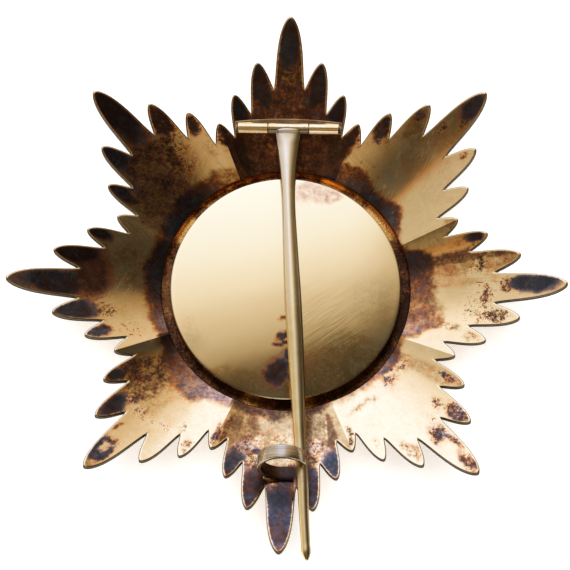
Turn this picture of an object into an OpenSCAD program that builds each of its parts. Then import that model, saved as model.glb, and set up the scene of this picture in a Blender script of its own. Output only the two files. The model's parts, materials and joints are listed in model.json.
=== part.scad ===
// Breast star of an order, worn on a coat and seen from its back: eight bundles of six leaf-shaped
// rays in one dished plate, a plain centre medallion in front, a domed cap over the medallion's back,
// and a long needle on a three-knuckle hinge that lies in a round catch.
// Millimetres. The star lies on its medallion with the back up. +Z points out of the back, +Y runs
// to the hinge, and the origin is the centre of the medallion's outer face.

/* [Star] */
// Width across opposite main ray tips, where they are longest
star_d = 91; // [84:0.5:100]
// Thickness of the plate at the edges of its rays
plate_t = 1.1; // [0.8:0.05:1.6]
// Width of the groove that the opening in the plate leaves around the cap
groove_w = 1.45; // [1:0.05:2.4]
// Angle at which the plate rises from its opening to the ray tips
dish_angle = 13.2; // [8:0.2:18]
// Depth of the trough along the middle of each bundle, at the shortest rays
trough_depth = 0.75; // [0.2:0.05:1.2]
// Angle of the two sloping faces on the front of each ray
ray_pitch = 19; // [8:1:26]

/* [Medallion] */
// How far the medallion reaches past the opening in the plate, all around
medallion_lap = 1.95; // [1:0.05:3]
// Thickness of the medallion
medallion_t = 2.2; // [1.4:0.1:3.4]
// Width of the step around its outer face
medallion_step_w = 2.4; // [1:0.1:4]
// Depth of that step
medallion_step_t = 0.6; // [0.3:0.05:1]

/* [Cap] */
// Width of the cap
cap_d = 37.2; // [34:0.1:38]
// Height of the cap's side wall
cap_h = 2.8; // [1.8:0.1:3.6]
// Thickness of the cap's sheet
cap_t = 0.6; // [0.4:0.05:0.9]
// How far the cap's middle stands above its edge
cap_dome = 0.6; // [0.2:0.05:1.2]
// Width of the bevel on the cap's edge
cap_bevel = 0.3; // [0.1:0.05:0.5]

/* [Hinge] */
// Distance from the star's centre to the middle of the hinge strip
hinge_y = 26.6; // [25:0.1:28.5]
// Length of the strip that carries the hinge
strip_l = 17.2; // [16.6:0.1:19]
// Width of the strip at its ends
strip_w = 1.95; // [1.8:0.05:3.2]
// How far the strip reaches past the feet of the knuckles, towards the star's centre
strip_lip = 0.05; // [0:0.05:0.5]
// How much wider the strip is in the middle
strip_swell = 0.5; // [0.1:0.05:0.8]
// Thickness of the strip
strip_t = 0.7; // [0.5:0.05:1]
// Length of the three knuckles together
barrel_l = 16.2; // [12:0.1:16.6]
// Length of the needle's own knuckle in the middle
needle_knuckle_l = 6.5; // [5:0.1:8]
// Outer width of the knuckles
knuckle_d = 1.94; // [1.6:0.02:2.4]
// Width of the rivet through the knuckles
rivet_d = 0.9; // [0.7:0.02:1.1]
// Width of the rivet's domed heads
rivet_head_d = 1.5; // [1.2:0.05:1.8]
// Height of the rivet's domed heads
rivet_head_h = 0.4; // [0.2:0.05:0.6]

/* [Catch] */
// Distance from the star's centre to the middle of the catch
catch_y = 31.6; // [29:0.1:33]
// Outer width of the round band
catch_d = 8.1; // [7:0.1:9.5]
// Width of the band along the needle
catch_w = 2.3; // [1.6:0.1:3]
// Thickness of the band
catch_t = 0.7; // [0.5:0.05:1]
// Length of the band's flat foot
catch_foot_l = 4.9; // [3:0.1:6]
// How far the foot reaches from the middle of the round, to the side away from the needle
catch_foot_side = 3.1; // [2:0.1:4]
// Angle of the band's free end above the middle of the round
catch_end_angle = 24; // [18:1:40]

/* [Needle] */
// How far the needle's tip reaches past the star's radius
needle_past = 1.6; // [0:0.1:4]
// Widest part of the needle
needle_w = 2.7; // [2:0.05:3.2]
// Thickness there, across the plate
needle_t = 2.3; // [1.8:0.05:2.8]
// Width of the needle's flat head on its knuckle
head_w = 4.0; // [3:0.1:4.8]
// Thickness of the flat head
head_t = 1.3; // [1:0.05:1.6]
// How far the tip stands to the side of the hinge's middle
needle_side = 4.1; // [3.8:0.1:4.4]
// Angle at which the needle rises from its hinge to its tip
needle_rise = 2.7; // [2.3:0.1:3.1]

/* [Fits] */
// Space between pieces that are fastened face to face
seam_gap = 0.03; // [0.02:0.01:0.06]
// Space around the rivet, on the radius
run_gap = 0.03; // [0.02:0.01:0.06]
// Space beside and under the needle's knuckle
knuckle_gap = 0.1; // [0.06:0.01:0.2]
// Depth to which soldered feet are sunk in the plate
solder_sink = 0.15; // [0.1:0.05:0.3]

/* [Hidden] */

// The rays of half a bundle, from its middle outwards. Angles are degrees from the bundle's middle,
// and reaches are shares of the star's radius. Columns: angle of the tip, reach of the tip, angle of
// the notch beyond it, reach of that notch, steps along each of its curved edges.
RAYS = [
    [0.0, 1.000, 4.3, 0.744, 5],
    [8.0, 0.842, 11.85, 0.667, 4],
    [15.45, 0.743, 18.95, 0.599, 4],
    [22.5, 0.660, 26.05, 0.599, 3],
];
// The eight bundles were cut by hand. One row each, clockwise from the hinge.
// Columns: degrees by which the bundle is turned clockwise, its reach as a share of the full one.
BUNDLES = [
    [0.1, 0.985],
    [-0.3, 0.998],
    [-0.2, 0.998],
    [0.3, 0.980],
    [0.5, 1.000],
    [0.1, 0.986],
    [-0.3, 0.990],
    [-0.1, 0.981],
];
// Sections of the needle between its head and its tip. Columns: place as a share of its length,
// width as a share of needle_w, thickness as a share of needle_t, place to the side as a share of
// needle_side.
NEEDLE = [
    [0.046, 1.25, 0.62, 0.000],
    [0.080, 1.03, 0.65, 0.008],
    [0.112, 0.88, 0.68, 0.020],
    [0.160, 0.80, 0.75, 0.050],
    [0.283, 0.89, 0.92, 0.170],
    [0.398, 1.00, 1.00, 0.300],
    [0.512, 0.95, 0.98, 0.440],
    [0.628, 0.85, 0.88, 0.560],
    [0.723, 0.72, 0.80, 0.665],
    [0.792, 0.68, 0.76, 0.765],
    [0.909, 0.58, 0.64, 0.885],
    [0.960, 0.54, 0.59, 0.950],
    [0.985, 0.50, 0.54, 0.982],
    [0.998, 0.20, 0.22, 1.000],
];
// Rings of points in the plate, as shares of the way from its opening to its outline
RINGS = [0, 0.4, 0.72, 1];
NEEDLE_SIDES = 16;
ROUND = 64;
DOME_STEPS = 8;

// Bulge of a leaf's edge as a share of the edge's length, and the powers that shape it
leaf_bulge = 0.282;
leaf_tip_power = 0.6;
leaf_root_power = 1.4;
// How much the points of an edge crowd towards its tip, where it curves most
edge_crowding = 1.6;

star_r = star_d / 2;
cap_r = cap_d / 2;
hole_r = cap_r + groove_w;
medallion_r = hole_r + medallion_lap;
bundle_step = 360 / len(BUNDLES);
half_step = bundle_step / 2;
last_ray = len(RAYS) - 1;
short_r = RAYS[last_ray][1] * star_r;

// Height of the ridge on the front of a ray, r out from the centre on the ray's middle
function in_radians(degrees) = degrees * PI / 180;
function ray_half_angle(ray) = ray == 0 ? RAYS[0][2] : (RAYS[ray][2] - RAYS[ray - 1][2]) / 2;
function root_r(ray) = RAYS[ray][3] * star_r;
function ridge_height(ray, r) =
    tan(ray_pitch) * in_radians(ray_half_angle(ray)) * min(r, root_r(ray));

// Height of the plate's back, r out from the centre and off degrees from the middle of a bundle
hole_z = medallion_t + seam_gap + ridge_height(0, hole_r) + plate_t;
function back_z(r, off) =
    hole_z + tan(dish_angle) * (r - hole_r) + trough_depth * r / short_r * pow(off / half_step, 2);
function back_z_at(x, y) = back_z(norm([x, y]), atan2(x, y));

// Where the hinge, the catch and the needle come to lie
strip_z = back_z_at(strip_l / 2, hinge_y) - solder_sink;
knuckle_r = knuckle_d / 2;
barrel_up = strip_t + knuckle_gap + knuckle_r;
axis_y = hinge_y - sin(dish_angle) * barrel_up;
axis_z = strip_z + cos(dish_angle) * barrel_up;
outer_knuckle_l = (barrel_l - needle_knuckle_l) / 2 - knuckle_gap;
saddle_w = 0.7 * knuckle_d;
strip_near = saddle_w / 2 + strip_lip;
bore_d = rivet_d + 2 * run_gap;
catch_r = catch_d / 2;
catch_z = back_z_at(catch_foot_l / 2, catch_y) - solder_sink;
needle_l = axis_y + star_r + needle_past;

// Outline of the rays

function on_circle(angle, reach) = [reach * sin(angle), reach * cos(angle)];
function ray_tip(ray) = on_circle(RAYS[ray][0], RAYS[ray][1]);
function ray_notch(ray) = on_circle(RAYS[ray][2], RAYS[ray][3]);

// A point on a leaf's edge, step k of steps from its tip to a notch, as [angle, reach]. side is 1
// on the edge further from the bundle's middle and -1 on the edge nearer to it.
function leaf_point(tip, notch, k, steps, side) =
    let (
        u = pow(k / steps, edge_crowding),
        run = notch - tip,
        bulge = side * leaf_bulge * pow(u, leaf_tip_power) * pow(1 - u, leaf_root_power),
        p = tip + u * run + bulge * [-run[1], run[0]]
    )
    [atan2(p[0], p[1]), norm(p)];

// One column of points for each outline point of half a bundle. Columns: angle from the bundle's
// middle, reach, its ray, and its share of the way from the ray's ridge to the valley beside it.
function column(p, ray, valley) = [p[0], p[1], ray, (p[0] - RAYS[ray][0]) / (valley - RAYS[ray][0])];
function far_edge(ray) = [
    for (k = [0 : RAYS[ray][4]])
        column(leaf_point(ray_tip(ray), ray_notch(ray), k, RAYS[ray][4], 1), ray, RAYS[ray][2])
];
function near_edge(ray) = [
    for (k = [RAYS[ray][4] - 1 : -1 : 1])
        column(
            leaf_point(ray_tip(ray), ray_notch(ray - 1), k, RAYS[ray][4], -1),
            ray,
            RAYS[ray - 1][2]
        )
];
HALF_BUNDLE = [
    for (ray = [0 : last_ray - 1])
        each concat(far_edge(ray), near_edge(ray + 1))
];
BOUNDARY = [RAYS[last_ray][0], RAYS[last_ray][1], last_ray, 0];
BUNDLE = concat(
    [for (i = [len(HALF_BUNDLE) - 1 : -1 : 1]) let (c = HALF_BUNDLE[i]) [-c[0], c[1], c[2], c[3]]],
    HALF_BUNDLE,
    [BOUNDARY]
);

// The hand-cut turn and reach of the bundles, blended from each bundle's middle to the next
function bundle_at(angle) =
    let (
        place = (angle + 360) / bundle_step,
        low = floor(place),
        share = place - low
    )
    (1 - share) * BUNDLES[low % len(BUNDLES)] + share * BUNDLES[(low + 1) % len(BUNDLES)];

// The back and front points of one column at each ring
function column_points(middle, c) =
    let (
        cut = bundle_at(middle + c[0]),
        angle = middle + c[0] + cut[0],
        outer_r = c[1] * cut[1] * star_r,
        ridge_r = root_r(c[2]) * cut[1]
    )
    [
        for (share = RINGS)
            let (
                r = hole_r + share * (outer_r - hole_r),
                fade = c[3] > 0.999 ? 0 : min(1, (outer_r - r) / (outer_r - ridge_r)),
                back = back_z(r, c[0]),
                front = back - plate_t - (1 - c[3]) * fade * ridge_height(c[2], r)
            )
            each [
                [r * sin(angle), r * cos(angle), back],
                [r * sin(angle), r * cos(angle), front],
            ]
    ];

// The plate with its rays, as one closed shell around its opening
module ray_plate() {
    columns = [
        for (b = [0 : len(BUNDLES) - 1])
            for (c = BUNDLE)
                column_points(b * bundle_step, c)
    ];
    count = len(columns);
    rings = len(RINGS);
    // Number of the point in column c at ring i, on the back (0) or the front (1)
    function at(c, i, side) = ((c % count) * rings + i) * 2 + side;
    function split(a, b, c, d) = [[a, b, c], [a, c, d]];
    polyhedron(
        points = [for (column = columns) each column],
        faces = [
            for (c = [0 : count - 1])
                each concat(
                    [
                        for (i = [0 : rings - 2])
                            each concat(
                                split(at(c, i, 0), at(c, i + 1, 0), at(c + 1, i + 1, 0), at(c + 1, i, 0)),
                                split(at(c, i, 1), at(c + 1, i, 1), at(c + 1, i + 1, 1), at(c, i + 1, 1))
                            )
                    ],
                    split(
                        at(c + 1, rings - 1, 0), at(c, rings - 1, 0),
                        at(c, rings - 1, 1), at(c + 1, rings - 1, 1)
                    ),
                    split(at(c, 0, 0), at(c + 1, 0, 0), at(c + 1, 0, 1), at(c, 0, 1))
                )
        ]
    );
}

// Strip that bridges the hinge-side trough, and the two knuckles soldered on it
module hinge_base() {
    swell_r = (strip_l * strip_l / 4 + strip_swell * strip_swell) / (2 * strip_swell);
    translate([0, hinge_y, strip_z])
        rotate([dish_angle, 0, 0]) {
            linear_extrude(strip_t)
                intersection() {
                    translate([-strip_l / 2, -strip_near])
                        square([strip_l, strip_w + strip_swell]);
                    translate([0, strip_w - strip_near + strip_swell - swell_r])
                        circle(r = swell_r, $fn = 256);
                }
            for (side = [-1, 1])
                translate([side * (barrel_l - outer_knuckle_l) / 2, 0, 0])
                    outer_knuckle();
        }
}

module outer_knuckle() {
    difference() {
        union() {
            translate([-outer_knuckle_l / 2, 0, barrel_up])
                rotate([0, 90, 0])
                    cylinder(d = knuckle_d, h = outer_knuckle_l, $fn = ROUND);
            translate([-outer_knuckle_l / 2, -saddle_w / 2, strip_t / 2])
                cube([outer_knuckle_l, saddle_w, barrel_up - strip_t / 2]);
        }
        translate([-barrel_l, 0, barrel_up])
            rotate([0, 90, 0])
                cylinder(d = bore_d, h = 2 * barrel_l, $fn = ROUND);
    }
}

// Round band that holds the needle down, on a flat foot, with its free end beside the needle
module catch_band() {
    foot_angle = 250;
    translate([0, -catch_y, catch_z])
        rotate([-dish_angle, 0, 0]) {
            translate([0, catch_w / 2, catch_r])
                rotate([90, 0, 0])
                    rotate([0, 0, catch_end_angle])
                        rotate_extrude(angle = foot_angle - catch_end_angle, $fn = 2 * ROUND)
                            translate([catch_r - catch_t, 0])
                                square([catch_t, catch_w]);
            translate([-catch_foot_side, -catch_w / 2, 0])
                cube([catch_foot_l, catch_w, catch_t]);
        }
}

// The plate with what is soldered to it
module star() {
    color("goldenrod")
        union() {
            ray_plate();
            hinge_base();
            catch_band();
        }
}

// Plain medallion in front of the plate's opening, with one step around its face
module medallion() {
    color("gold")
        rotate_extrude($fn = 2 * ROUND)
            polygon([
                [0, 0],
                [medallion_r - medallion_step_w, 0],
                [medallion_r - medallion_step_w, medallion_step_t],
                [medallion_r, medallion_step_t],
                [medallion_r, medallion_t],
                [0, medallion_t],
            ]);
}

// Thin cap over the medallion's back: a low drum, open towards the medallion, with a domed face
module back_cap() {
    face_r = cap_r - cap_bevel;
    // Height of the dome above its edge, r out from the middle
    function dome(r) = cap_dome * (1 - pow(r / face_r, 2));
    color("khaki")
        translate([0, 0, medallion_t + seam_gap])
            rotate_extrude($fn = 2 * ROUND)
                polygon(concat(
                    [
                        [cap_r - cap_t, 0],
                        [cap_r, 0],
                        [cap_r, cap_h - cap_bevel],
                    ],
                    [for (i = [DOME_STEPS : -1 : 0]) let (r = i / DOME_STEPS * face_r) [r, cap_h + dome(r)]],
                    [
                        for (i = [0 : DOME_STEPS])
                            let (r = i / DOME_STEPS * (cap_r - cap_t))
                            [r, cap_h - cap_t - cap_bevel / 2 + dome(r)]
                    ]
                ));
}

// Rivet through the three knuckles, with a domed head at each end
module hinge_rivet() {
    shank_l = barrel_l + 2 * seam_gap;
    head_r = rivet_head_d / 2;
    color("peru")
        translate([0, axis_y, axis_z])
            rotate([0, 90, 0]) {
                translate([0, 0, -shank_l / 2])
                    cylinder(d = rivet_d, h = shank_l, $fn = ROUND);
                for (side = [0, 1])
                    mirror([0, 0, side])
                        translate([0, 0, shank_l / 2])
                            rotate_extrude($fn = ROUND)
                                polygon(concat(
                                    [[0, 0]],
                                    [
                                        for (a = [0 : 15 : 90])
                                            [head_r * cos(a), rivet_head_h * sin(a)]
                                    ]
                                ));
            }
}

// The needle's sections from its head to its tip, as [distance, width, thickness, side]
function needle_sections() = concat(
    [[knuckle_r * 0.7, head_w, head_t, 0]],
    [
        for (row = NEEDLE)
            [row[0] * needle_l, row[1] * needle_w, row[2] * needle_t, row[3] * needle_side]
    ]
);

// Needle: a knuckle on the rivet and a tapered shaft with a flat head, bent a little to the side
module needle() {
    sections = needle_sections();
    rows = len(sections);
    sides = NEEDLE_SIDES;
    rise = tan(needle_rise);
    color("darkkhaki")
        translate([0, axis_y, axis_z])
            difference() {
                union() {
                    translate([-needle_knuckle_l / 2, 0, 0])
                        rotate([0, 90, 0])
                            cylinder(d = knuckle_d, h = needle_knuckle_l, $fn = ROUND);
                    polyhedron(
                        points = [
                            for (s = sections)
                                for (i = [0 : sides - 1])
                                    let (a = 360 * i / sides)
                                    [
                                        s[3] + s[1] / 2 * cos(a),
                                        -s[0],
                                        s[0] * rise + s[2] / 2 * sin(a),
                                    ]
                        ],
                        faces = concat(
                            [[for (i = [0 : sides - 1]) i]],
                            [
                                for (row = [0 : rows - 2])
                                    for (i = [0 : sides - 1])
                                        let (
                                            here = row * sides + i,
                                            next = row * sides + (i + 1) % sides
                                        )
                                        each [
                                            [here, here + sides, next + sides],
                                            [here, next + sides, next],
                                        ]
                            ],
                            [[for (i = [sides - 1 : -1 : 0]) (rows - 1) * sides + i]]
                        )
                    );
                }
                translate([-needle_knuckle_l, 0, 0])
                    rotate([0, 90, 0])
                        cylinder(d = bore_d, h = 2 * needle_knuckle_l, $fn = ROUND);
            }
}

star();
medallion();
back_cap();
hinge_rivet();
needle();
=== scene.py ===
"""Looks of a breast star that lies on its medallion, back up: a dished plate of leaf-shaped rays, a domed
cap, a hinged needle and its catch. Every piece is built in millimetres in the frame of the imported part,
from the same driving sizes as the part's source, and scaled to metres at the end."""

import json
import math

import bmesh
import bpy
import numpy as np
from mathutils import Matrix, Vector, noise


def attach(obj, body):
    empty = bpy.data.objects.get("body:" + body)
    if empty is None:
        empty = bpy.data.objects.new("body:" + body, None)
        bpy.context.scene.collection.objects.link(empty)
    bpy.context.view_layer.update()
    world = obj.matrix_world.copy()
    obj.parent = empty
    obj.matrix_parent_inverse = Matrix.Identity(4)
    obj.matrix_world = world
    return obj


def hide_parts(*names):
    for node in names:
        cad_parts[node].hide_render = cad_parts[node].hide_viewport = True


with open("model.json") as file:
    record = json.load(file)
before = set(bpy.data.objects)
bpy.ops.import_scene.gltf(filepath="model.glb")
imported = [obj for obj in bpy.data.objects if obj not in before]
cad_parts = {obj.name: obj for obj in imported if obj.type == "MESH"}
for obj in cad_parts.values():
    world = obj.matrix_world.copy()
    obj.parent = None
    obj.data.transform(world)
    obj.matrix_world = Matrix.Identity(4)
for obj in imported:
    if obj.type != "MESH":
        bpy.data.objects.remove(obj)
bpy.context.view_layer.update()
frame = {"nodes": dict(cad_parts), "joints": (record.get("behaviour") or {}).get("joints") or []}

MM = 0.001

# Plate, as in the part's source
STAR_R = 45.5
PLATE_T = 1.1
CAP_R = 18.6
GROOVE_W = 1.45
HOLE_R = CAP_R + GROOVE_W
MEDALLION_T = 2.2
SEAM_GAP = 0.03
DISH = math.radians(13.2)
TROUGH_DEPTH = 0.75
RAY_PITCH = math.radians(19)
LEAF_BULGE = 0.282
LEAF_TIP_POWER = 0.6
LEAF_ROOT_POWER = 1.4
EDGE_CROWDING = 1.6
# Rays of half a bundle, from its middle outwards. Columns: angle of the tip, reach of the tip, angle of
# the notch beyond it, reach of that notch, steps along each curved edge.
RAYS = [
    (0.0, 1.000, 4.3, 0.744, 20),
    (8.0, 0.842, 11.85, 0.667, 15),
    (15.45, 0.743, 18.95, 0.599, 13),
    (22.5, 0.660, 26.05, 0.599, 12),
]
# Turn and reach of the eight hand-cut bundles, clockwise from the hinge
BUNDLES = np.array([
    (0.1, 0.985),
    (-0.3, 0.998),
    (-0.2, 0.998),
    (0.3, 0.980),
    (0.5, 1.000),
    (0.1, 0.986),
    (-0.3, 0.990),
    (-0.1, 0.981),
])
BUNDLE_STEP = 45.0
HALF_STEP = BUNDLE_STEP / 2
SHORT_R = RAYS[3][1] * STAR_R
# Rings of the plate's mesh: a few over the rounded edge of the opening, by their distance from it, and
# the others from there to the outline, crowded towards the outline
OPENING_RINGS = np.array([0.0, 0.03, 0.08, 0.14])
RING_COUNT = 31
RING_CROWDING = 1.5
BACK_EDGE_ROUND = 0.2
FRONT_EDGE_ROUND = 0.12
# The rounding at the opening stops this far short of its wall
OPENING_BLUNT = 0.02

# Hinge, catch and needle, as in the part's source
HINGE_Y = 26.6
STRIP_L = 17.2
STRIP_W = 1.95
STRIP_LIP = 0.05
STRIP_SWELL = 0.5
STRIP_T = 0.7
BARREL_L = 16.2
NEEDLE_KNUCKLE_L = 6.5
KNUCKLE_R = 0.97
KNUCKLE_GAP = 0.1
BORE_R = 0.48
CATCH_Y = 31.6
CATCH_R = 4.05
CATCH_W = 2.3
CATCH_T = 0.7
CATCH_FOOT_L = 4.9
CATCH_FOOT_SIDE = 3.1
CATCH_END = 24
SOLDER_SINK = 0.15
NEEDLE_PAST = 1.6
NEEDLE_W = 2.7
NEEDLE_T = 2.3
NEEDLE_SIDE = 4.1
NEEDLE_RISE = math.radians(2.7)
# Sections of the needle. Columns: share of its length, width share, thickness share, side share.
NEEDLE = np.array([
    (0.046, 1.25, 0.62, 0.000),
    (0.080, 1.03, 0.65, 0.008),
    (0.112, 0.88, 0.68, 0.020),
    (0.160, 0.80, 0.75, 0.050),
    (0.283, 0.89, 0.92, 0.170),
    (0.398, 1.00, 1.00, 0.300),
    (0.512, 0.95, 0.98, 0.440),
    (0.628, 0.85, 0.88, 0.560),
    (0.723, 0.72, 0.80, 0.665),
    (0.792, 0.68, 0.76, 0.765),
    (0.909, 0.58, 0.64, 0.885),
    (0.960, 0.54, 0.59, 0.950),
    (0.985, 0.50, 0.54, 0.982),
    (0.998, 0.20, 0.22, 1.000),
])

# Cap, as in the part's source
CAP_H = 2.8
CAP_T = 0.6
CAP_DOME = 0.6

# The hinge's axis comes from the frame
AXIS_Y = frame["joints"][0]["pos_m"][1] / MM
AXIS_Z = frame["joints"][0]["pos_m"][2] / MM


# Shapes shared by the plate and what stands on it

def half_angle(ray):
    """Half the angle, in degrees, that a ray takes where it meets its neighbours."""
    return RAYS[0][2] if ray == 0 else (RAYS[ray][2] - RAYS[ray - 1][2]) / 2


def root_r(ray):
    return RAYS[ray][3] * STAR_R


def ridge_height(ray, r):
    """Height of the ridge on the front of a ray, r out from the centre."""
    return math.tan(RAY_PITCH) * math.radians(half_angle(ray)) * np.minimum(r, root_r(ray))


HOLE_Z = MEDALLION_T + SEAM_GAP + float(ridge_height(0, HOLE_R)) + PLATE_T


def back_z(r, off):
    """Height of the plate's back, r out from the centre and off degrees from a bundle's middle."""
    return HOLE_Z + math.tan(DISH) * (r - HOLE_R) + TROUGH_DEPTH * r / SHORT_R * (off / HALF_STEP) ** 2


def back_z_at(x, y):
    return back_z(math.hypot(x, y), math.degrees(math.atan2(x, y)))


def bundle_cut(angle):
    """Turn and reach of the hand-cut bundles at these angles, blended from one middle to the next."""
    place = (angle % 360) / BUNDLE_STEP
    low = np.floor(place).astype(int)
    share = (place - low)[:, None]
    return (1 - share) * BUNDLES[low % 8] + share * BUNDLES[(low + 1) % 8]


def on_circle(angle, reach):
    return np.array([reach * math.sin(math.radians(angle)), reach * math.cos(math.radians(angle))])


def leaf_points(ray, notch_ray, side):
    """Points of one leaf edge from its tip to a notch, as rows of angle and reach."""
    tip = on_circle(RAYS[ray][0], RAYS[ray][1])
    notch = on_circle(RAYS[notch_ray][2], RAYS[notch_ray][3])
    u = np.linspace(0, 1, RAYS[ray][4] + 1) ** EDGE_CROWDING
    run = notch - tip
    bulge = side * LEAF_BULGE * u ** LEAF_TIP_POWER * (1 - u) ** LEAF_ROOT_POWER
    p = tip + u[:, None] * run + bulge[:, None] * np.array([-run[1], run[0]])
    return np.column_stack([np.degrees(np.arctan2(p[:, 0], p[:, 1])), np.hypot(p[:, 0], p[:, 1])])


def bundle_columns():
    """Columns of one bundle from edge to edge, as rows of angle, reach, ray and share of the way from
    the ray's ridge to the valley beside it."""
    half = []
    for ray in range(3):
        far = leaf_points(ray, ray, 1)
        near = leaf_points(ray + 1, ray, -1)[1:-1][::-1]
        valley = RAYS[ray][2]
        for points, owner in ((far, ray), (near, ray + 1)):
            ridge = RAYS[owner][0]
            for angle, reach in points:
                half.append((angle, reach, owner, (angle - ridge) / (valley - ridge)))
    half = np.array(half)
    mirrored = half[:0:-1].copy()
    mirrored[:, 0] *= -1
    return np.vstack([mirrored, half, [(RAYS[3][0], RAYS[3][1], 3, 0)]])


def distance_to_outline(points, column, outline, reach=90):
    """Distance from each point to the outline, looking at the segments near the point's own column."""
    count = len(outline)
    best = np.full(len(points), 1e9)
    for shift in range(-reach, reach):
        a = outline[(column + shift) % count]
        b = outline[(column + shift + 1) % count]
        run = b - a
        t = np.clip(np.sum((points - a) * run, 1) / np.maximum(np.sum(run * run, 1), 1e-12), 0, 1)
        best = np.minimum(best, np.linalg.norm(points - a - t[:, None] * run, axis=1))
    return best


def rounding(distance, radius):
    """How far a rounded edge falls below its face, at this distance from the edge."""
    inside = np.clip(radius - distance, 0, radius)
    return radius - np.sqrt(np.maximum(radius ** 2 - inside ** 2, 0))


# Tarnish of the plate. Angles are degrees clockwise from the hinge, and lengths millimetres. Depth runs
# from 0, clean metal, to 1, black. Hue is 0 for brown and 1 for blue and purple. Grain is 0 for an even
# film and 1 for loose specks.

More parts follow.
